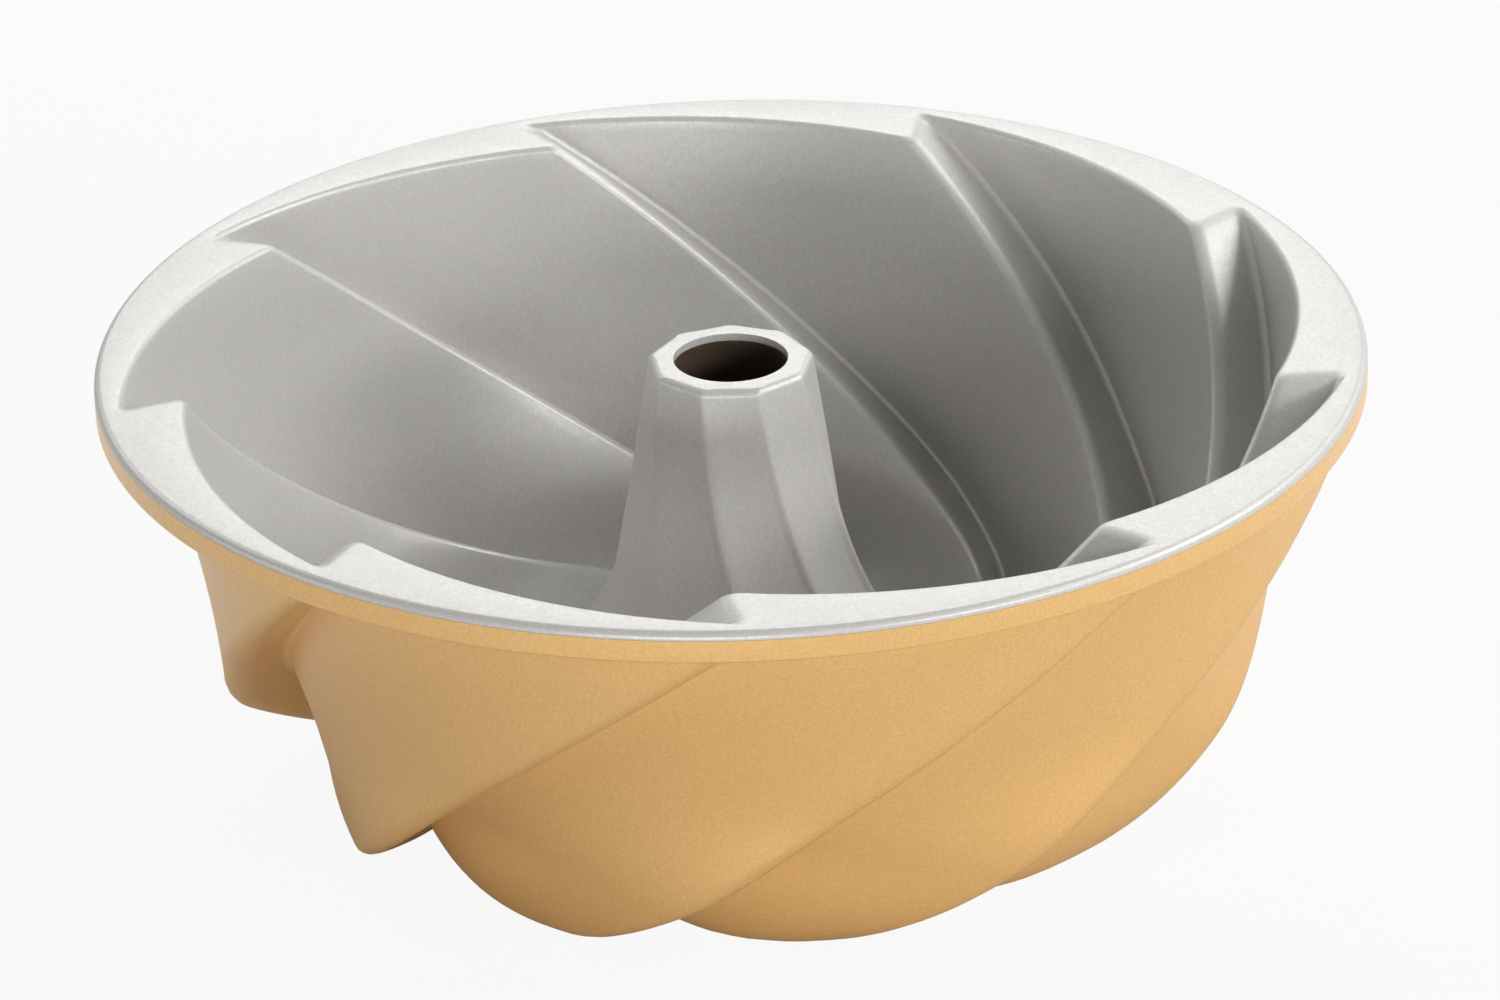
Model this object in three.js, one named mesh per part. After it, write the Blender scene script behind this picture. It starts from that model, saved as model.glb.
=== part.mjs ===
// Fluted tube pan: a ring cake mould cast in aluminium, with swirled flutes and a hollow centre tube.
// The casting carries two coats: a non-stick lining on the cavity side and a gold finish outside.
// Millimetres, +Z up. The origin is on the pan's axis, on the surface that the pan stands on.
import * as THREE from 'three';

const { clamp, degToRad, lerp, smoothstep } = THREE.MathUtils;

// Rim
const RIM_RADIUS = 130;
const RIM_EDGE_RADIUS = 1.5;
const RIM_BAND_HEIGHT = 6.5;
const BAND_EDGE_RADIUS = 0.5;
const LINING_LIP_DEPTH = 1.7;
const MOUTH_EDGE_RADIUS = 1.2;

// Cavity, measured to the ridges of the flutes
const MOUTH_RADIUS = 111.6;
const WALL_DRAFT = degToRad(18.3);
const CAVITY_DEPTH = 76;
const FLOOR_RADIUS = 68;
const FLOOR_CORNER = 18.4;

// Centre tube
const TUBE_TOP_RADIUS = 17.4;
const TUBE_DROP = 2.6;
const TUBE_DRAFT = degToRad(9);
const TUBE_FLARE = 35.7;
const TUBE_CHAMFER = 1.7;
const BORE_RADIUS = 11.8;
const BORE_LIP_DEPTH = 1.6;

// Flutes: saw-tooth steps that turn clockwise on their way down, seen from above
const FLUTE_COUNT = 9;
const FLUTE_TURN = degToRad(140);
const FIRST_STEP = degToRad(28.5);
const RELIEF_AT_RIM = 13.2;
const RELIEF_ON_WALL = 12.8;
const RELIEF_ON_FLOOR = 17.3;
const RELIEF_ON_TUBE = 1.2;
const HOLLOW_ON_WALL = 1.8;
const HOLLOW_AT_TOE = 3.6;
const SWELL_ON_FLOOR = 6.5;
const STEP_RUN = 1.6;
const RIDGE_RADIUS = 3;
const VALLEY_RADIUS = 2;

// Metal and coats
const WALL = 4;
const STEP_THICKENING = 1.63;
const LEAST_RADIUS = 1;
const LINING = 0.4;
const FINISH = 0.4;
const COAT_GAP = 0.25;
const FOOT_FLAT = 1.6;

// Shape of the curves: how far each end's handle reaches along the wall and the tube, where on the path
// the flutes change, how deep in the tube's wall its facets stay flat, and how much of a run a corner takes
const WALL_FULLNESS = 0.507;
const TUBE_FULLNESS = 0.88;
const WALL_STATION = 0.4;
const TOE_STATION = 0.66;
const FLOOR_STATION = 1.05;
const TUBE_STATION = 1.5;
const FACET_CORE = 0.18;
const LONGEST_TRIM = 0.45;

// Points on one flute, across its ridge, its panel and its valley, and rows along its path
const RIDGE_POINTS = 2;
const PANEL_POINTS = 3;
const VALLEY_POINTS = 3;
const COLUMNS = RIDGE_POINTS + PANEL_POINTS + VALLEY_POINTS;
const ROWS = 13;
const SEARCH_PASSES = 8;

const PITCH = 2 * Math.PI / FLUTE_COUNT;
const BEVEL = 1 - Math.SQRT1_2;
const CHAMFER_SHIFT = Math.SQRT2 - 1;
const CAST_INSET = LINING + COAT_GAP;
const GOLD_EDGE = BORE_LIP_DEPTH + COAT_GAP;

// The ridge line in a half section: x is the radius and y the depth below the rim top.
// Its path runs from 0 at the rim through 1 on the floor to 2 at the top of the tube.
const wallHandle = WALL_FULLNESS * CAVITY_DEPTH;
const tubeEnd = new THREE.Vector2(TUBE_TOP_RADIUS, TUBE_DROP + TUBE_CHAMFER);
const tubeHandle = TUBE_FULLNESS * (CAVITY_DEPTH - tubeEnd.y);
const wallLine = new THREE.CubicBezierCurve(
  new THREE.Vector2(MOUTH_RADIUS, 0),
  new THREE.Vector2(MOUTH_RADIUS - wallHandle * Math.tan(WALL_DRAFT), wallHandle),
  new THREE.Vector2(FLOOR_RADIUS + FLOOR_CORNER, CAVITY_DEPTH),
  new THREE.Vector2(FLOOR_RADIUS, CAVITY_DEPTH),
);
const tubeLine = new THREE.CubicBezierCurve(
  new THREE.Vector2(FLOOR_RADIUS, CAVITY_DEPTH),
  new THREE.Vector2(FLOOR_RADIUS - TUBE_FLARE, CAVITY_DEPTH),
  new THREE.Vector2(tubeEnd.x + tubeHandle * Math.tan(TUBE_DRAFT), tubeEnd.y + tubeHandle),
  tubeEnd,
);
const depthRateAtRim = 3 * wallHandle;

// A point of the ridge line, with the direction from it straight into the metal
function ridgeAt(path) {
  const onWall = path <= 1;
  const line = onWall ? wallLine : tubeLine;
  const share = onWall ? Math.max(path, 0) : path - 1;
  const point = line.getPoint(share);
  const along = line.getTangent(share);
  const above = Math.min(path, 0) * depthRateAtRim / Math.cos(WALL_DRAFT);
  point.addScaledVector(along, above);
  return { radius: point.x, depth: point.y, outward: along.y, downward: -along.x };
}

// A value that eases from station to station along the path
function easedAlong(path, stations) {
  return stations.reduce((value, [station, target], place) => {
    const from = place > 0 ? stations[place - 1][0] : 0;
    return lerp(value, target, smoothstep(path, from, station));
  }, stations[0][1]);
}

// How far a valley lies behind its ridge
function reliefAt(path) {
  return easedAlong(path, [
    [0, RELIEF_AT_RIM],
    [WALL_STATION, RELIEF_ON_WALL],
    [TOE_STATION, RELIEF_ON_FLOOR],
    [FLOOR_STATION, RELIEF_ON_FLOOR],
    [TUBE_STATION, RELIEF_ON_TUBE],
    [2, 0],
  ]);
}

// How far the middle of a panel stands out from the straight line between its ridge and its valley
function swellAt(path) {
  return easedAlong(path, [
    [0, 0],
    [WALL_STATION, -HOLLOW_ON_WALL],
    [TOE_STATION, -HOLLOW_AT_TOE],
    [1, SWELL_ON_FLOOR],
    [TUBE_STATION, 0],
  ]);
}

function wallAt(path) {
  return lerp(WALL, TUBE_TOP_RADIUS - BORE_RADIUS, smoothstep(path, TUBE_STATION, 2));
}

// A corner between two straight runs, rounded by a curve of the given number of points
function roundedCorner(before, corner, after, radius, count) {
  const back = before.clone().sub(corner);
  const ahead = after.clone().sub(corner);
  const halfAngle = Math.acos(back.dot(ahead) / (back.length() * ahead.length())) / 2;
  const longest = LONGEST_TRIM * Math.min(back.length(), ahead.length());
  const trim = Math.min(radius / Math.tan(halfAngle), longest);
  const arc = new THREE.QuadraticBezierCurve(
    corner.clone().add(back.setLength(trim)),
    corner,
    corner.clone().add(ahead.setLength(trim)),
  );
  return arc.getPoints(count - 1);
}

// One flute across its path, at a depth in the metal that is measured from the cavity side.
// In the section, x runs round the pan and y into the metal.
function sectionAt(path, inset) {
  const ridge = ridgeAt(path);
  const relief = reliefAt(path);
  const pitch = ridge.radius * PITCH;
  const ridgeCorner = new THREE.Vector2(0, 0);
  const valleyCorner = new THREE.Vector2(pitch - STEP_RUN, relief);
  const lastValley = new THREE.Vector2(-STEP_RUN, relief);
  const nextRidge = new THREE.Vector2(pitch, 0);
  const ridgeRadius = Math.max(RIDGE_RADIUS - inset, LEAST_RADIUS);
  const valleyRadius = VALLEY_RADIUS + inset;
  const ridgeArc = roundedCorner(lastValley, ridgeCorner, valleyCorner, ridgeRadius, RIDGE_POINTS);
  const valleyArc = roundedCorner(ridgeCorner, valleyCorner, nextRidge, valleyRadius, VALLEY_POINTS);
  const panel = new THREE.LineCurve(ridgeArc[RIDGE_POINTS - 1], valleyArc[0]).getPoints(PANEL_POINTS + 1);
  const outline = [...ridgeArc, ...panel.slice(1, -1), ...valleyArc];

  const facet = ridge.radius * (1 - Math.cos(PITCH / 2)) * smoothstep(path, 1, TUBE_STATION);
  const swell = swellAt(path) + facet * (1 - smoothstep(inset / wallAt(path), FACET_CORE, 1 - FACET_CORE));
  const round = inset * STEP_THICKENING;
  const lift = inset + round * relief / (pitch - STEP_RUN);
  return outline.map((point) => {
    const share = clamp((point.x + round) / pitch, 0, 1);
    const out = point.y + lift + swell * 4 * share * (1 - share);
    return {
      path,
      radius: ridge.radius + out * ridge.outward,
      depth: ridge.depth + out * ridge.downward,
      angle: (point.x + round) / ridge.radius - FLUTE_TURN * path / 2,
    };
  });
}

// A ring holds the points of one flute; the others are copies of it round the axis.
function ringAtDepth(insetAt, depth) {
  const search = Array.from({ length: SEARCH_PASSES });
  return Array.from({ length: COLUMNS }, (_, column) => {
    const pointAt = (path) => sectionAt(path, insetAt(path))[column];
    const climb = (path) => path + (depth - pointAt(path).depth) / depthRateAtRim;
    return pointAt(search.reduce(climb, 0));
  });
}

// A circle that faces a fluted ring: its points keep to the ring up to the middle of the valley and are
// even elsewhere, so the flat between the two has no folds.
function circleRing(radius, depth, guide) {
  const first = RIDGE_POINTS + PANEL_POINTS;
  const last = first + Math.floor(VALLEY_POINTS / 2);
  const spacing = (guide[first].angle + PITCH - guide[last].angle) / (COLUMNS - last + first);
  return guide.map((point, column) => {
    const nearest = clamp(column, first, last);
    return { radius, depth, angle: guide[nearest].angle + spacing * (column - nearest) };
  });
}

// Rows from a ring near the rim down the wall, over the floor and up the tube
function fluteRows(insetAt, first) {
  return Array.from({ length: ROWS }, (_, row) => first.map((start, column) => {
    const path = lerp(start.path, 2, (row + 1) / ROWS);
    return sectionAt(path, insetAt(path))[column];
  }));
}

function tubeRing(inset, depth) {
  return sectionAt(2, inset).map((point) => ({ ...point, depth }));
}

// The cavity side of a layer, from the outer edge of the rim to the flat top of the tube
function cavityFace(inset, edgeDepth) {
  const rimEdge = BEVEL * (RIM_EDGE_RADIUS - inset);
  const mouthEdge = BEVEL * (MOUTH_EDGE_RADIUS - inset);
  const chamferEnd = TUBE_CHAMFER + inset * CHAMFER_SHIFT;
  const rimFlat = ringAtDepth(() => MOUTH_EDGE_RADIUS, inset);
  const mouth = ringAtDepth(() => inset, MOUTH_EDGE_RADIUS);
  return [
    circleRing(RIM_RADIUS - inset, edgeDepth, rimFlat),
    circleRing(RIM_RADIUS - inset - rimEdge, inset + rimEdge, rimFlat),
    circleRing(RIM_RADIUS - RIM_EDGE_RADIUS, inset, rimFlat),
    rimFlat,
    ringAtDepth(() => inset + mouthEdge, inset + mouthEdge),
    mouth,
    ...fluteRows(() => inset, mouth),
    tubeRing(chamferEnd, TUBE_DROP + inset),
  ];
}

// The outer side of a layer, from the edge of the bore to the upper edge of the rim's band
function outerFace(inset, boreEdge) {
  const insetAt = (path) => wallAt(path) - inset;
  const underRim = ringAtDepth(insetAt, RIM_BAND_HEIGHT - inset);
  const rows = fluteRows(insetAt, underRim).reverse();
  const bandRadius = RIM_RADIUS - inset;
  return [
    circleRing(BORE_RADIUS + inset, TUBE_DROP + boreEdge, rows[0]),
    ...rows,
    underRim,
    circleRing(bandRadius - BAND_EDGE_RADIUS, RIM_BAND_HEIGHT - inset, underRim),
    circleRing(bandRadius, RIM_BAND_HEIGHT - inset - BAND_EDGE_RADIUS, underRim),
    circleRing(bandRadius, LINING_LIP_DEPTH + COAT_GAP, underRim),
  ];
}

// Each flute is flat where it stands, on both sides of the metal.
const deepest = Math.max(...outerFace(0, GOLD_EDGE).flat().map((point) => point.depth));
const STAND_DEPTH = deepest - FOOT_FLAT;

function standing(face, clearance) {
  const lowest = STAND_DEPTH - clearance;
  return face.map((ring) => ring.map((point) => ({ ...point, depth: Math.min(point.depth, lowest) })));
}

// A closed skin through a loop of rings. Each four-sided facet is split along its shorter diagonal,
// so that layers on the same rows and columns stay parallel.
function skinGeometry(loop) {
  const across = FLUTE_COUNT * COLUMNS;
  const corners = loop.flatMap((ring) => Array.from({ length: across }, (_, column) => {
    const point = ring[column % COLUMNS];
    const angle = point.angle + PITCH * Math.floor(column / COLUMNS);
    const height = STAND_DEPTH - point.depth;
    return new THREE.Vector3(point.radius * Math.cos(angle), point.radius * Math.sin(angle), height);
  }));
  const index = [];
  for (let row = 0; row < loop.length; row += 1) {
    const nextRow = (row + 1) % loop.length;
    for (let column = 0; column < across; column += 1) {
      const nextColumn = (column + 1) % across;
      const a = row * across + column;
      const b = row * across + nextColumn;
      const c = nextRow * across + nextColumn;
      const d = nextRow * across + column;
      const splitAtA = corners[a].distanceTo(corners[c]) < corners[b].distanceTo(corners[d]);
      const split = splitAtA ? [a, b, c, a, c, d] : [a, b, d, b, c, d];
      index.push(...split);
    }
  }
  const geometry = new THREE.BufferGeometry().setFromPoints(corners);
  geometry.setIndex(index);
  geometry.computeVertexNormals();
  return geometry;
}

function piece(name, loop, finish) {
  const mesh = new THREE.Mesh(skinGeometry(loop), new THREE.MeshStandardMaterial(finish));
  mesh.name = name;
  return mesh;
}

// The casting: wall, floor, rim and tube in one piece of aluminium
function castBody() {
  const upper = standing(cavityFace(CAST_INSET, RIM_EDGE_RADIUS), WALL - CAST_INSET);
  const lower = standing(outerFace(FINISH + COAT_GAP, CAST_INSET), FINISH + COAT_GAP);
  const finish = { color: 0xc9cbcd, roughness: 0.45, metalness: 1 };
  return piece('cast_body', [...upper, ...lower], finish);
}

// The grey non-stick coat on the cavity, the tube and the top of the rim, which laps into the bore
function liningFace(inset) {
  const face = standing(cavityFace(inset, LINING_LIP_DEPTH), WALL - inset);
  const tubeTop = face.at(-1);
  return [
    ...face,
    circleRing(BORE_RADIUS + inset, TUBE_DROP + inset, tubeTop),
    circleRing(BORE_RADIUS + inset, TUBE_DROP + BORE_LIP_DEPTH, tubeTop),
  ];
}

function nonstickLining() {
  const front = liningFace(0);
  const back = liningFace(LINING).reverse();
  const finish = { color: 0xb4b2ae, roughness: 0.42, metalness: 0.25 };
  return piece('nonstick_lining', [...front, ...back], finish);
}

// The metallic gold coat on the band, the outside of the flutes and the inside of the tube
function goldFinish() {
  const front = standing(outerFace(0, GOLD_EDGE), 0);
  const back = standing(outerFace(FINISH, GOLD_EDGE), FINISH).reverse();
  const finish = { color: 0xd0a56b, roughness: 0.45, metalness: 0.6 };
  return piece('gold_finish', [...front, ...back], finish);
}

const pan = new THREE.Group();
pan.name = 'fluted_tube_pan';
pan.add(castBody(), nonstickLining(), goldFinish());
pan.rotation.z = FIRST_STEP;

export default pan;
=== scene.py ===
import math
import bpy
import numpy as np
from mathutils import Matrix, Vector


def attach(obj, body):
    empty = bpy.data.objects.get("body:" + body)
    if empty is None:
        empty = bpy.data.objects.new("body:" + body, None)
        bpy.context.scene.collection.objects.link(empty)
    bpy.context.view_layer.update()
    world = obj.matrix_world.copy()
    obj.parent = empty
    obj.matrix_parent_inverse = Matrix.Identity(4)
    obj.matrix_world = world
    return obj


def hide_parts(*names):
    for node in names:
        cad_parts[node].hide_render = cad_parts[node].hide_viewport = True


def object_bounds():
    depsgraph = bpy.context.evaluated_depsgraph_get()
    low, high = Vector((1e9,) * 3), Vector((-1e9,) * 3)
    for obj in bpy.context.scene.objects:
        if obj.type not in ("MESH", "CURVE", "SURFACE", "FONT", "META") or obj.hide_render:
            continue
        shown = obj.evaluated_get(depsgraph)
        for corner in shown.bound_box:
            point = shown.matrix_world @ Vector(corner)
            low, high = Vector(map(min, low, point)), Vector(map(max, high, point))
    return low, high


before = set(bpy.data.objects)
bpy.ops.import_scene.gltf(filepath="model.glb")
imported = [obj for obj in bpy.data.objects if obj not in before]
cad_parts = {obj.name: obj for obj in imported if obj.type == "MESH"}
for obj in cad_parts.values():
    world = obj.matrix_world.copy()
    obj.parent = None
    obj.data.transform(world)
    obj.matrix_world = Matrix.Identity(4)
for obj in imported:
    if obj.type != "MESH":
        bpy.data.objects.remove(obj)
cad_low, cad_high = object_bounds()

# Casting
# The pan is one piece of aluminium, poured in a die: fluted wall, floor, rim flange and hollow tube.
# Its flutes are nine saw-tooth steps that swirl down the wall, cross the floor and die out on the tube.
# Both coats cover it, so the metal itself only shows in the fine joint between them. Sizes in millimetres.
MM = 0.001
RIM_TOP = cad_high.z / MM
RIM_RADIUS = 130
RIM_EDGE_RADIUS = 1.5
RIM_BAND_HEIGHT = 6.5
BAND_EDGE_RADIUS = 0.5
MOUTH_RADIUS = 111.6
MOUTH_EDGE_RADIUS = 1.2
WALL_DRAFT = math.radians(18.3)
CAVITY_DEPTH = 76
FLOOR_RADIUS = 68
FLOOR_CORNER = 18.4
TUBE_TOP_RADIUS = 17.4
TUBE_DROP = 2.6
TUBE_DRAFT = math.radians(9)
TUBE_FLARE = 35.7
TUBE_CHAMFER = 1.7
TUBE_CORNER_ROUND = 0.05
BORE_RADIUS = 11.8
BORE_LIP_DEPTH = 1.6
FLUTE_COUNT = 9
FLUTE_TURN = math.radians(140)
FIRST_STEP = math.radians(28.5)
RELIEF_AT_RIM = 13.2
RELIEF_ON_WALL = 12.8
RELIEF_ON_FLOOR = 17.3
RELIEF_ON_TUBE = 1.2
HOLLOW_ON_WALL = 1.8
HOLLOW_AT_TOE = 3.6
SWELL_ON_FLOOR = 6.5
STEP_RUN = 1.6
RIDGE_RADIUS = 3
VALLEY_RADIUS = 2
LEAST_RADIUS = 1
LONGEST_TRIM = 0.45
LEAST_TRIM = 0.3
WALL = 4
STEP_THICKENING = 1.63
FOOT_ROUND = 0.8
WALL_FULLNESS = 0.507
TUBE_FULLNESS = 0.88
WALL_STATION = 0.4
TOE_STATION = 0.66
FLOOR_STATION = 1.05
TUBE_STATION = 1.5
FACET_CORE = 0.18
COAT = 0.4
COAT_GAP = 0.25
PITCH = 2 * math.pi / FLUTE_COUNT

# The ridge line in a half section, as radius and depth below the rim top, runs from 0 at the rim
# through 1 on the floor to 2 at the top of the tube.
WALL_HANDLE = WALL_FULLNESS * CAVITY_DEPTH
TUBE_END_DEPTH = TUBE_DROP + TUBE_CHAMFER
TUBE_HANDLE = TUBE_FULLNESS * (CAVITY_DEPTH - TUBE_END_DEPTH)
WALL_LINE = np.array([
    (MOUTH_RADIUS, 0),
    (MOUTH_RADIUS - WALL_HANDLE * math.tan(WALL_DRAFT), WALL_HANDLE),
    (FLOOR_RADIUS + FLOOR_CORNER, CAVITY_DEPTH),
    (FLOOR_RADIUS, CAVITY_DEPTH),
])
TUBE_LINE = np.array([
    (FLOOR_RADIUS, CAVITY_DEPTH),
    (FLOOR_RADIUS - TUBE_FLARE, CAVITY_DEPTH),
    (TUBE_TOP_RADIUS + TUBE_HANDLE * math.tan(TUBE_DRAFT), TUBE_END_DEPTH + TUBE_HANDLE),
    (TUBE_TOP_RADIUS, TUBE_END_DEPTH),
])
DEPTH_RATE_AT_RIM = 3 * WALL_HANDLE

# Points across one flute: round the ridge, along the panel, round the valley and up the step
RIDGE_POINTS = 9
PANEL_POINTS = 13
VALLEY_POINTS = 8
STEP_POINTS = 3
ACROSS = RIDGE_POINTS + PANEL_POINTS + VALLEY_POINTS + STEP_POINTS
RIDGE_SHARES = np.linspace(0, 1, RIDGE_POINTS)
PANEL_SHARES = np.linspace(0, 1, PANEL_POINTS + 2)[1:-1]
VALLEY_SHARES = np.linspace(0, 1, VALLEY_POINTS)
STEP_SHARES = np.linspace(0, 1, STEP_POINTS + 2)[1:-1]
SEEN_ROWS = 130
HIDDEN_ROWS = 44
EDGE_STEPS = 6
SEARCH_PASSES = 12
SHARPEST_SOFT_EDGE = math.radians(70)


def ramp(value, start, end):
    share = np.clip((value - start) / (end - start), 0, 1)
    return share * share * (3 - 2 * share)


def blend(start, end, share):
    return start + (end - start) * share


# 0 at both ends of a run and 1 in its middle
def hump(share):
    return 4 * share * (1 - share)


def bezier(ends, share):
    first, second, third, last = ends
    rest = 1 - share
    middle = 3 * rest * share * (rest * second + share * third)
    return rest ** 3 * first + middle + share ** 3 * last


def bezier_direction(ends, share):
    first, second, third = np.diff(ends, axis=0)
    rest = 1 - share
    rate = rest ** 2 * first + 2 * rest * share * second + share ** 2 * third
    return rate / np.linalg.norm(rate, axis=-1, keepdims=True)


def ridge_line(path):
    on_wall = (path <= 1)[..., None]
    wall_share = np.clip(path, 0, 1)[..., None]
    tube_share = np.clip(path - 1, 0, 1)[..., None]
    point = np.where(on_wall, bezier(WALL_LINE, wall_share), bezier(TUBE_LINE, tube_share))
    wall_along = bezier_direction(WALL_LINE, wall_share)
    tube_along = bezier_direction(TUBE_LINE, tube_share)
    along = np.where(on_wall, wall_along, tube_along)
    above = np.minimum(path, 0) * DEPTH_RATE_AT_RIM / math.cos(WALL_DRAFT)
    point = point + along * above[..., None]
    return point[..., 0], point[..., 1], along[..., 1], -along[..., 0]


def eased_along(path, stations):
    value = stations[0][1]
    for (start, _), (end, target) in zip(stations, stations[1:]):
        value = blend(value, target, ramp(path, start, end))
    return value


def relief_at(path):
    return eased_along(path, [
        (0, RELIEF_AT_RIM),
        (WALL_STATION, RELIEF_ON_WALL),
        (TOE_STATION, RELIEF_ON_FLOOR),
        (FLOOR_STATION, RELIEF_ON_FLOOR),
        (TUBE_STATION, RELIEF_ON_TUBE),
        (2, 0),
    ])


def swell_at(path):
    return eased_along(path, [
        (0, 0),
        (WALL_STATION, -HOLLOW_ON_WALL),
        (TOE_STATION, -HOLLOW_AT_TOE),
        (1, SWELL_ON_FLOOR),
        (TUBE_STATION, 0),
    ])


def wall_at(path):
    return blend(WALL, TUBE_TOP_RADIUS - BORE_RADIUS, ramp(path, TUBE_STATION, 2))


# How far the points of a round corner stand back from it along its two sides: a circular arc that starts
# and ends at the trim, where half_angle is half the angle between the sides
def round_corner(trim, half_angle, shares):
    total = (1 - shares) ** 2 + 2 * np.sin(half_angle) * shares * (1 - shares) + shares ** 2
    return trim * (1 - shares) ** 2 / total, trim * shares ** 2 / total


# One flute's points as radius, depth and angle, at a depth in the metal measured from the cavity side.
# path and inset hold a value for each point, in columns across the flute.
def flute_points(path, inset):
    radius, depth, outward, downward = ridge_line(path)
    relief = relief_at(path)
    pitch = radius * PITCH
    step_length = np.hypot(STEP_RUN, relief)
    panel_length = np.hypot(pitch - STEP_RUN, relief)
    panel_x, panel_y = (pitch - STEP_RUN) / panel_length, relief / panel_length
    step_x, step_y = STEP_RUN / step_length, relief / step_length
    half_angle = np.arccos(np.clip(panel_y * step_y - panel_x * step_x, -1, 1)) / 2
    longest = LONGEST_TRIM * np.minimum(step_length, panel_length)
    shortest = LEAST_TRIM * longest
    ridge_radius = np.maximum(RIDGE_RADIUS - inset, LEAST_RADIUS)
    ridge_trim = np.clip(ridge_radius / np.tan(half_angle), shortest, longest)
    valley_trim = np.clip((VALLEY_RADIUS + inset) / np.tan(half_angle), shortest, longest)

    before = np.zeros(path.shape)
    after = np.zeros(path.shape)
    climb = np.zeros(path.shape)
    ridge, panel, valley, step = np.split(
        np.arange(ACROSS), np.cumsum([RIDGE_POINTS, PANEL_POINTS, VALLEY_POINTS]))
    before[..., ridge], after[..., ridge] = round_corner(
        ridge_trim[..., ridge], half_angle[..., ridge], RIDGE_SHARES)
    panel_run = (panel_length - ridge_trim - valley_trim)[..., panel]
    after[..., panel] = ridge_trim[..., panel] + panel_run * PANEL_SHARES
    short_of_valley, climb[..., valley] = round_corner(
        valley_trim[..., valley], half_angle[..., valley], VALLEY_SHARES)
    after[..., valley] = panel_length[..., valley] - short_of_valley
    step_run = (step_length - ridge_trim - valley_trim)[..., step]
    after[..., step] = panel_length[..., step]
    climb[..., step] = valley_trim[..., step] + step_run * STEP_SHARES
    x = after * panel_x + (climb - before) * step_x
    y = after * panel_y - (climb - before) * step_y

    turn = inset * STEP_THICKENING
    lift = inset + turn * relief / (pitch - STEP_RUN)
    share = np.clip((x + turn) / pitch, 0, 1)
    facet = radius * (1 - math.cos(PITCH / 2)) * ramp(path, 1, TUBE_STATION)
    facet = facet * (1 - ramp(inset / wall_at(path), FACET_CORE, 1 - FACET_CORE))
    corner = np.hypot(np.minimum(share, 1 - share), TUBE_CORNER_ROUND)
    out = y + lift + swell_at(path) * hump(share) + facet * hump(corner)
    angle = (x + turn) / radius - FLUTE_TURN * path / 2
    return np.stack([radius + out * outward, depth + out * downward, angle], axis=-1)


def paths_at_depth(inset_at, depth):
    path = np.zeros(ACROSS)
    for _ in range(SEARCH_PASSES):
        path = path + (depth - flute_points(path, inset_at(path))[:, 1]) / DEPTH_RATE_AT_RIM
    return path


def ring_at_depth(inset_at, depth):
    path = paths_at_depth(inset_at, depth)
    return flute_points(path, inset_at(path))


def even_inset(inset):
    return lambda path: np.full(path.shape, inset)


# A circle that faces a fluted ring: its points keep to the ring up to the middle of the valley and are even
# elsewhere, so the flat between the two has no folds.
def round_ring(radius, depth, guide):
    first = RIDGE_POINTS + PANEL_POINTS
    last = first + VALLEY_POINTS // 2
    spacing = (guide[first, 2] + PITCH - guide[last, 2]) / (ACROSS - last + first)
    column = np.arange(ACROSS)
    angle = guide[:, 2].copy()
    angle[:first] = angle[first] - spacing * (first - column[:first])
    angle[last + 1:] = angle[last] + spacing * (column[last + 1:] - last)
    return np.stack([np.full(ACROSS, radius), np.full(ACROSS, depth), angle], axis=-1)


def flute_rows(inset_at, first_path, rows):
    shares = np.linspace(0, 1, rows + 1)[1:, None]
    path = blend(first_path[None, :], 2, shares)
    return flute_points(path, inset_at(path))


def tube_ring(inset, depth):
    ring = flute_points(np.full(ACROSS, 2.0), np.full(ACROSS, inset))
    ring[:, 1] = depth
    return ring


# The cavity side of a layer, from the outer edge of the rim to the flat top of the tube
def cavity_face(inset, edge_depth, rows):
    rounding = np.linspace(0, math.pi / 2, EDGE_STEPS + 1)
    rim_flat = ring_at_depth(even_inset(MOUTH_EDGE_RADIUS), inset)
    rim_round = RIM_EDGE_RADIUS - inset
    rings = [round_ring(RIM_RADIUS - inset, edge_depth, rim_flat)]
    for angle in rounding[::-1]:
        edge_radius = RIM_RADIUS - RIM_EDGE_RADIUS + rim_round * math.sin(angle)
        rings.append(round_ring(edge_radius, RIM_EDGE_RADIUS - rim_round * math.cos(angle), rim_flat))
    mouth_round = MOUTH_EDGE_RADIUS - inset
    for angle in rounding:
        edge_inset = even_inset(MOUTH_EDGE_RADIUS - mouth_round * math.sin(angle))
        rings.append(ring_at_depth(edge_inset, MOUTH_EDGE_RADIUS - mouth_round * math.cos(angle)))
    mouth_path = paths_at_depth(even_inset(inset), MOUTH_EDGE_RADIUS)
    rings.extend(flute_rows(even_inset(inset), mouth_path, rows))
    tube_round = TUBE_CHAMFER - inset
    for angle in rounding[1:]:
        edge_inset = TUBE_CHAMFER - tube_round * math.cos(angle)
        rings.append(tube_ring(edge_inset, TUBE_END_DEPTH - tube_round * math.sin(angle)))
    return np.array(rings)


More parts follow.
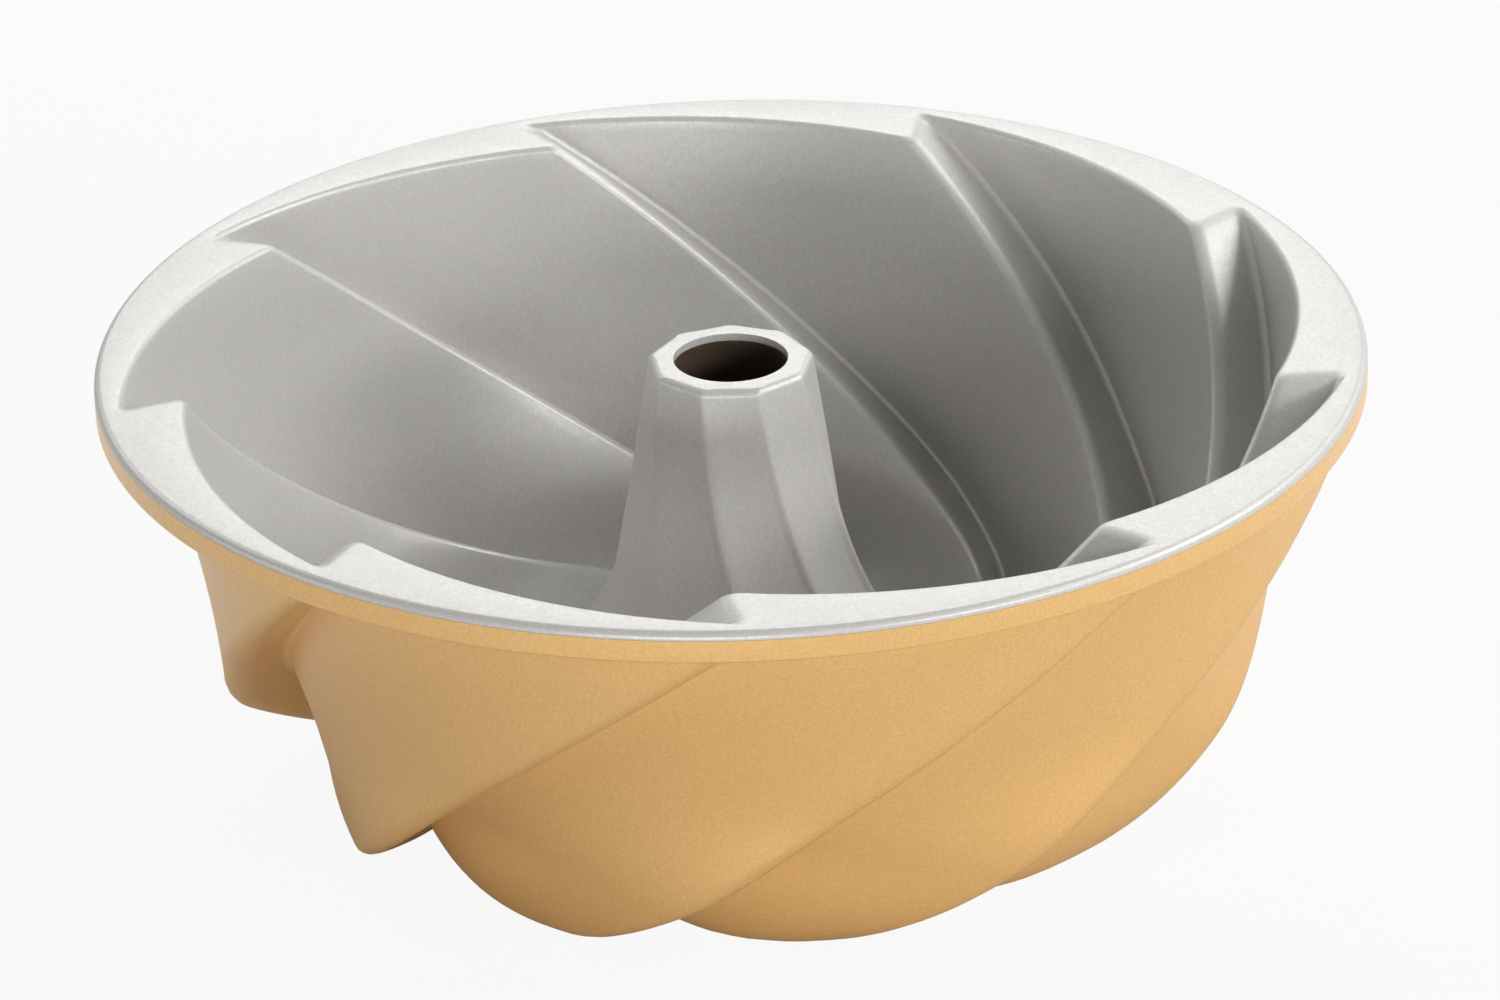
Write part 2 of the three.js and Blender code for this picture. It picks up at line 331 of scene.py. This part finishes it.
# The outer side of a layer, from the edge of the bore to the upper edge of the rim's band
def outer_face(inset, bore_edge, band_top, rows):
    def inset_at(path):
        return wall_at(path) - inset

    under_depth = RIM_BAND_HEIGHT - inset
    under_path = paths_at_depth(inset_at, under_depth)
    under_rim = flute_points(under_path, inset_at(under_path))
    wall_rows = flute_rows(inset_at, under_path, rows)[::-1]
    band_radius = RIM_RADIUS - inset
    rings = [round_ring(BORE_RADIUS + inset, TUBE_DROP + bore_edge, wall_rows[0])]
    rings.extend(wall_rows)
    rings.append(under_rim)
    for angle in np.linspace(0, math.pi / 2, EDGE_STEPS + 1):
        edge_radius = band_radius - BAND_EDGE_RADIUS * (1 - math.sin(angle))
        edge_depth = under_depth - BAND_EDGE_RADIUS * (1 - math.cos(angle))
        rings.append(round_ring(edge_radius, edge_depth, under_rim))
    rings.append(round_ring(band_radius, band_top, under_rim))
    return np.array(rings)


# Each flute is flat where it stands, with a soft edge round the flat.
def standing(face, clearance):
    lowest = RIM_TOP - clearance
    share = np.clip((lowest - face[..., 1]) / FOOT_ROUND / 2 + 0.5, 0, 1)
    flattened = face.copy()
    flattened[..., 1] = blend(lowest, face[..., 1], share) - FOOT_ROUND * share * (1 - share)
    return flattened


def pan_skin(name, loop):
    flutes = FIRST_STEP + PITCH * np.arange(FLUTE_COUNT)
    angle = (loop[:, None, :, 2] + flutes[None, :, None]).reshape(len(loop), -1)
    radius = np.tile(loop[..., 0], FLUTE_COUNT)
    height = RIM_TOP - np.tile(loop[..., 1], FLUTE_COUNT)
    points = np.stack([radius * np.cos(angle), radius * np.sin(angle), height], axis=-1) * MM
    corner = np.arange(angle.size).reshape(angle.shape)
    below = np.roll(corner, -1, axis=0)
    quads = np.stack([corner, np.roll(corner, -1, 1), np.roll(below, -1, 1), below], axis=-1)
    mesh = bpy.data.meshes.new(name)
    mesh.from_pydata(points.reshape(-1, 3).tolist(), [], quads.reshape(-1, 4).tolist())
    mesh.polygons.foreach_set("use_smooth", [True] * len(mesh.polygons))
    mesh.set_sharp_from_angle(angle=SHARPEST_SOFT_EDGE)
    mesh.validate()
    skin = bpy.data.objects.new(name, mesh)
    bpy.context.collection.objects.link(skin)
    return skin


def linear(hex_colour):
    channels = [int(hex_colour[place:place + 2], 16) / 255 for place in (1, 3, 5)]
    return [c / 12.92 if c <= 0.04045 else ((c + 0.055) / 1.055) ** 2.4 for c in channels] + [1]


def add_node(tree, kind, inputs, **settings):
    node = tree.nodes.new(kind)
    for name, value in settings.items():
        setattr(node, name, value)
    for socket, value in inputs.items():
        if isinstance(value, bpy.types.NodeSocket):
            tree.links.new(value, node.inputs[socket])
        else:
            node.inputs[socket].default_value = value
    return node


# Die-cast aluminium, blasted: a pale grey metal with a fine matt grain, drawn coarser than it is.
CAST_GREY = "#C9CBCD"
BLAST_GRAIN = 0.5
BLAST_SMOOTHEST = 0.4
BLAST_ROUGHEST = 0.55
cast_aluminium = bpy.data.materials.new("blasted_cast_aluminium")
cast_aluminium.use_nodes = True
tree = cast_aluminium.node_tree
metal = tree.nodes["Principled BSDF"]
place = add_node(tree, "ShaderNodeTexCoord", {}).outputs["Object"]
grain = add_node(tree, "ShaderNodeTexNoise", {"Vector": place, "Scale": 1 / (BLAST_GRAIN * MM)})
rough = add_node(tree, "ShaderNodeMapRange", {
    "Value": grain.outputs["Fac"], "To Min": BLAST_SMOOTHEST, "To Max": BLAST_ROUGHEST})
tree.links.new(rough.outputs["Result"], metal.inputs["Roughness"])
metal.inputs["Base Color"].default_value = linear(CAST_GREY)
metal.inputs["Metallic"].default_value = 1

cast_inset = COAT + COAT_GAP
cast_upper = standing(cavity_face(cast_inset, RIM_EDGE_RADIUS, HIDDEN_ROWS), WALL - cast_inset)
cast_lower = standing(outer_face(cast_inset, cast_inset, RIM_EDGE_RADIUS + COAT, HIDDEN_ROWS), cast_inset)
casting = pan_skin("casting", np.concatenate([cast_upper, cast_lower]))
casting.data.materials.append(cast_aluminium)
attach(casting, "root")
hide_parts("cast_body")

# Non-stick lining
# A grey fluoropolymer coat, sprayed on the cavity, the tube and the top of the rim and then baked.
# It laps over the rim's outer edge and ends there, above the gold band, and it stops at the bore.
LINING_LIP = 1.7


def lining_face(inset, rows):
    face = standing(cavity_face(inset, LINING_LIP, rows), WALL - inset)
    bore_edge = round_ring(BORE_RADIUS + inset, TUBE_DROP + inset, face[-1])
    bore_lip = round_ring(BORE_RADIUS + inset, TUBE_DROP + BORE_LIP_DEPTH, face[-1])
    return np.concatenate([face, [bore_edge, bore_lip]])


# A sprayed coat with mica: its shade, gloss and tooth follow the flakes, and a longer wave stands for the
# unevenness of the spray. The flakes are drawn far coarser than they are, so that they show.
FLAKE_LOW = 0.3
FLAKE_HIGH = 0.7
FLAKE_HEIGHT = 0.05
SPRAY_WAVE = 6
WAVE_HEIGHT = 0.3
WAVE_STRENGTH = 0.1


def sprayed_coat(name, shades, flake, tooth, roughest, smoothest):
    material = bpy.data.materials.new(name)
    material.use_nodes = True
    tree = material.node_tree
    coat = tree.nodes["Principled BSDF"]
    place = add_node(tree, "ShaderNodeTexCoord", {}).outputs["Object"]
    mica = add_node(tree, "ShaderNodeTexNoise", {"Vector": place, "Scale": 1 / (flake * MM), "Detail": 3})
    wave = add_node(tree, "ShaderNodeTexNoise", {
        "Vector": place, "Scale": 1 / (SPRAY_WAVE * MM), "Detail": 2})
    tint = add_node(tree, "ShaderNodeValToRGB", {"Fac": mica.outputs["Fac"]})
    tint.color_ramp.elements.new((FLAKE_LOW + FLAKE_HIGH) / 2)
    tint.color_ramp.elements[0].position = FLAKE_LOW
    tint.color_ramp.elements[2].position = FLAKE_HIGH
    for stop, shade in zip(tint.color_ramp.elements, shades):
        stop.color = linear(shade)
    rough = add_node(tree, "ShaderNodeMapRange", {
        "Value": mica.outputs["Fac"], "From Min": FLAKE_LOW, "From Max": FLAKE_HIGH,
        "To Min": roughest, "To Max": smoothest})
    fine = add_node(tree, "ShaderNodeBump", {
        "Height": mica.outputs["Fac"], "Strength": tooth, "Distance": FLAKE_HEIGHT * MM})
    soft = add_node(tree, "ShaderNodeBump", {
        "Height": wave.outputs["Fac"], "Strength": WAVE_STRENGTH, "Distance": WAVE_HEIGHT * MM,
        "Normal": fine.outputs["Normal"]})
    tree.links.new(tint.outputs["Color"], coat.inputs["Base Color"])
    tree.links.new(rough.outputs["Result"], coat.inputs["Roughness"])
    tree.links.new(soft.outputs["Normal"], coat.inputs["Normal"])
    return material


# Baked fluoropolymer with fine mica: a soft satin grey with a faint sparkle and no mirror reflection.
LINING_DARK_GRAIN = "#CAC8C3"
LINING_GREY = "#CFCDC9"
LINING_SPARKLE = "#D6D4D1"
LINING_FLAKE = 0.7
nonstick = sprayed_coat(
    "baked_nonstick_coat", (LINING_DARK_GRAIN, LINING_GREY, LINING_SPARKLE),
    LINING_FLAKE, tooth=0.12, roughest=0.42, smoothest=0.32)
coat = nonstick.node_tree.nodes["Principled BSDF"]
coat.inputs["IOR"].default_value = 1.45
coat.inputs["Metallic"].default_value = 0.16

lining_front = lining_face(0, SEEN_ROWS)
lining_back = lining_face(COAT, HIDDEN_ROWS)[::-1]
lining = pan_skin("nonstick_coat", np.concatenate([lining_front, lining_back]))
lining.data.materials.append(nonstick)
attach(lining, "root")
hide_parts("nonstick_lining")

# Gold finish
# A silicone-polyester coat with gold mica, sprayed and baked on the band, the outside and the bore.
# It meets the lining in a fine line round the edge of the rim. Near the axis, inside the hollow tube, its
# colour is a painted shade: a dark brown that stands for the shadow in there and fades into the gold outside.
GOLD_JOINT = 0.06

# Baked silicone-polyester with gold mica: a satin metallic with a fine speckle, paler where light grazes it.
GOLD_DARK_GRAIN = "#E4B46C"
GOLD = "#E9BB75"
GOLD_SPARKLE = "#EEC380"
# A dark brown painted shade for the inside of the hollow tube, near the axis
PAINTED_BORE_SHADE = "#5E5042"
GOLD_FLAKE = 0.6
# The painted shade is full out to the first radius and gone by the second, in mm from the axis.
BORE_SHADE_RADIUS = 30
BORE_SHADE_REACH = 45
gold_coat = sprayed_coat(
    "baked_gold_mica_coat", (GOLD_DARK_GRAIN, GOLD, GOLD_SPARKLE),
    GOLD_FLAKE, tooth=0.15, roughest=0.52, smoothest=0.4)
tree = gold_coat.node_tree
coat = tree.nodes["Principled BSDF"]
mica_gold = coat.inputs["Base Color"].links[0].from_socket
place = add_node(tree, "ShaderNodeTexCoord", {}).outputs["Object"]
flat_place = add_node(tree, "ShaderNodeVectorMath", {0: place, 1: (1, 1, 0)}, operation="MULTIPLY")
from_axis = add_node(tree, "ShaderNodeVectorMath", {0: flat_place.outputs[0]}, operation="LENGTH")
# Towards the axis, inside the tube, the gold gives way to the painted shade.
clear_of_bore_shade = add_node(tree, "ShaderNodeMapRange", {
    "Value": from_axis.outputs["Value"], "From Min": BORE_SHADE_RADIUS * MM, "From Max": BORE_SHADE_REACH * MM})
# Sockets 6 and 7 of a colour mix are its two colours, and 2 is its result.
colour = add_node(tree, "ShaderNodeMix", {
    0: clear_of_bore_shade.outputs["Result"], 6: linear(PAINTED_BORE_SHADE), 7: mica_gold}, data_type="RGBA")
tree.links.new(colour.outputs[2], coat.inputs["Base Color"])
coat.inputs["Metallic"].default_value = 0.3
coat.inputs["Coat Weight"].default_value = 0.5
coat.inputs["Coat Roughness"].default_value = 0.3

band_top = LINING_LIP + GOLD_JOINT
bore_edge = BORE_LIP_DEPTH + GOLD_JOINT
gold_front = standing(outer_face(0, bore_edge, band_top, SEEN_ROWS), 0)
gold_back = standing(outer_face(COAT, bore_edge, band_top, HIDDEN_ROWS), COAT)[::-1]
gold = pan_skin("gold_coat", np.concatenate([gold_front, gold_back]))
gold.data.materials.append(gold_coat)
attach(gold, "root")
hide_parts("gold_finish")

# Studio
# A pale floor and a white surround, with soft boxes to the right of the pan and behind it.
# Low strips in front and to the left fill in the gold side and leave the depth of the cavity in shade.
FLOOR_SIZE = 12000
FLOOR_GAP = 0.3
FLOOR_PALE = "#C9C8C6"
FLOOR_GLOW = 0.92
SHADE_START = 90
SHADE_END = 240
AMBIENT = 0.02
LAMP_DISTANCE = 1500
LAMP_WIDTH = 800
BOX_HEIGHT = 800
STRIP_HEIGHT = 200

# Studio paper: the camera, and reflections away from the pan, see it glow white with a little shade left.
bpy.ops.mesh.primitive_plane_add(size=FLOOR_SIZE * MM, location=(0, 0, -FLOOR_GAP * MM))
floor = bpy.context.object
floor.name = "studio_floor"
paper = bpy.data.materials.new("pale_studio_paper")
paper.use_nodes = True
tree = paper.node_tree
tree.nodes.clear()
path_kind = add_node(tree, "ShaderNodeLightPath", {})
place = add_node(tree, "ShaderNodeTexCoord", {}).outputs["Object"]
from_axis = add_node(tree, "ShaderNodeVectorMath", {0: place}, operation="LENGTH")
unshaded = add_node(tree, "ShaderNodeMapRange", {
    "Value": from_axis.outputs["Value"], "From Min": SHADE_START * MM, "From Max": SHADE_END * MM})
mirrored = add_node(tree, "ShaderNodeMath", {
    0: path_kind.outputs["Is Glossy Ray"], 1: path_kind.outputs["Is Transmission Ray"]}, operation="MAXIMUM")
mirrored_white = add_node(tree, "ShaderNodeMath", {
    0: mirrored.outputs[0], 1: unshaded.outputs["Result"]}, operation="MULTIPLY")
sees_white = add_node(tree, "ShaderNodeMath", {
    0: path_kind.outputs["Is Camera Ray"], 1: mirrored_white.outputs[0]}, operation="MAXIMUM")
glow_share = add_node(tree, "ShaderNodeMath", {0: sees_white.outputs[0], 1: FLOOR_GLOW}, operation="MULTIPLY")
matt = add_node(tree, "ShaderNodeBsdfDiffuse", {"Color": linear(FLOOR_PALE)})
glow = add_node(tree, "ShaderNodeEmission", {"Strength": 1})
mixed = add_node(tree, "ShaderNodeMixShader", {
    0: glow_share.outputs[0], 1: matt.outputs[0], 2: glow.outputs[0]})
add_node(tree, "ShaderNodeOutputMaterial", {"Surface": mixed.outputs[0]})
floor.data.materials.append(paper)

# The surround is white to the camera and in reflections, and gives hardly any light itself.
scene = bpy.context.scene
scene.world = bpy.data.worlds.new("white_surround")
scene.world.use_nodes = True
tree = scene.world.node_tree
tree.nodes.clear()
path_kind = add_node(tree, "ShaderNodeLightPath", {})
mirrored = add_node(tree, "ShaderNodeMath", {
    0: path_kind.outputs["Is Glossy Ray"], 1: path_kind.outputs["Is Transmission Ray"]}, operation="MAXIMUM")
sees_white = add_node(tree, "ShaderNodeMath", {
    0: path_kind.outputs["Is Camera Ray"], 1: mirrored.outputs[0]}, operation="MAXIMUM")
strength = add_node(tree, "ShaderNodeMapRange", {
    "Value": sees_white.outputs[0], "To Min": AMBIENT, "To Max": 1})
surround = add_node(tree, "ShaderNodeBackground", {"Strength": strength.outputs["Result"]})
add_node(tree, "ShaderNodeOutputWorld", {"Surface": surround.outputs[0]})


# A soft box aimed at the pan: its azimuth from +X and its elevation in degrees, its height and its watts
def soft_box(name, azimuth, elevation, height, power):
    lamp = bpy.data.lights.new(name, "AREA")
    lamp.shape = "RECTANGLE"
    lamp.size = LAMP_WIDTH * MM
    lamp.size_y = height * MM
    lamp.energy = power
    box = bpy.data.objects.new(name, lamp)
    turn, rise = math.radians(azimuth), math.radians(elevation)
    towards = Vector((math.cos(rise) * math.cos(turn), math.cos(rise) * math.sin(turn), math.sin(rise)))
    box.location = (Vector((0, 0, RIM_TOP / 2)) + towards * LAMP_DISTANCE) * MM
    box.rotation_euler = (-towards).to_track_quat("-Z", "Y").to_euler()
    bpy.context.collection.objects.link(box)


soft_box("right_box", 0, 35, BOX_HEIGHT, 11)
soft_box("back_right_box", 45, 33, BOX_HEIGHT, 4.5)
soft_box("back_box", 90, 33, BOX_HEIGHT, 6.2)
soft_box("back_left_box", 135, 33, BOX_HEIGHT, 4.5)
soft_box("front_right_strip", 312, 20, STRIP_HEIGHT, 7)
soft_box("front_left_strip", 262, 5, STRIP_HEIGHT, 7.4)
soft_box("left_strip", 190, 5, STRIP_HEIGHT, 1.8)

# The camera stands in front of the pan and looks down on it through a long lens, rolled a little.
PHOTO_WIDTH = 1500
FOCAL_PIXELS = 7800
SENSOR = 36
CAMERA_PLACE = Vector((0, -1448.8, RIM_TOP + 667.23)) * MM
CAMERA_TARGET = Vector((3.142, 0, RIM_TOP - 35.12)) * MM
CAMERA_ROLL = -0.02796
lens = bpy.data.cameras.new("camera")
lens.sensor_width = SENSOR
lens.lens = SENSOR * FOCAL_PIXELS / PHOTO_WIDTH
camera = bpy.data.objects.new("camera", lens)
ahead = (CAMERA_TARGET - CAMERA_PLACE).normalized()
right = ahead.cross(Vector((0, 0, 1))).normalized()
upward = right.cross(ahead)
rolled_right = math.cos(CAMERA_ROLL) * right + math.sin(CAMERA_ROLL) * upward
rolled_up = math.cos(CAMERA_ROLL) * upward - math.sin(CAMERA_ROLL) * right
turned = Matrix((rolled_right, rolled_up, -ahead)).transposed().to_4x4()
camera.matrix_world = Matrix.Translation(CAMERA_PLACE) @ turned
bpy.context.collection.objects.link(camera)
scene.camera = camera
scene.view_settings.view_transform = "Standard"
